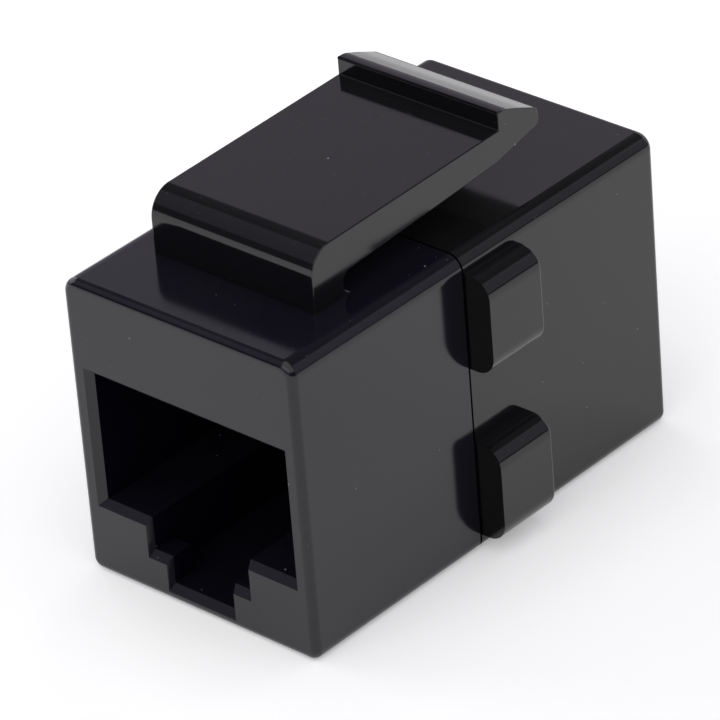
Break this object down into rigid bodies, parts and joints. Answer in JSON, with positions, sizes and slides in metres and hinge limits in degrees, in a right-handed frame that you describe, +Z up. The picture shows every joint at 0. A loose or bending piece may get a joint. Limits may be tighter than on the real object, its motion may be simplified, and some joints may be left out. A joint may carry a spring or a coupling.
{
  "type": "keystone coupler",
  "caption": "Small black moulded keystone coupler with a modular plug socket at each end, side lugs and a springy latch lever on top that snaps it into a panel port.",
  "frame": {"origin": "middle of the underside", "axes": "+Z up, +Y from the front plug face towards the rear one, +X to the right seen from the front"},
  "size_m": [0.0176, 0.0262, 0.0206],
  "materials": {
    "front_shell_plastic": "moulded, semi-gloss black",
    "rear_shell_plastic": "moulded, semi-gloss black",
    "lever_plastic": "moulded, semi-gloss black",
    "board_laminate": "green solder resist",
    "carrier_plastic": "moulded, fine matt",
    "contact_gold": "gold plate"
  },
  "bodies": {
    "case": {"front_shell": "front_shell_plastic", "rear_shell": "rear_shell_plastic", "circuit_board": "board_laminate", "front_contact_carrier": "carrier_plastic", "rear_contact_carrier": "carrier_plastic", "front_contact_1": "contact_gold", "front_contact_2": "contact_gold", "front_contact_3": "contact_gold", "front_contact_4": "contact_gold", "front_contact_5": "contact_gold", "front_contact_6": "contact_gold", "front_contact_7": "contact_gold", "front_contact_8": "contact_gold", "rear_contact_1": "contact_gold", "rear_contact_2": "contact_gold", "rear_contact_3": "contact_gold", "rear_contact_4": "contact_gold", "rear_contact_5": "contact_gold", "rear_contact_6": "contact_gold", "rear_contact_7": "contact_gold", "rear_contact_8": "contact_gold"},
    "lever": {"latch_lever": "lever_plastic"}
  },
  "joints": [
    {"name": "latch_hinge", "type": "hinge", "parent": "case", "child": "lever", "pos_m": [0, -0.0055, 0.01843], "axis": [1, 0, 0], "range_deg": [-9, 0], "stiffness_Nm_per_rad": 0.6}
  ]
}
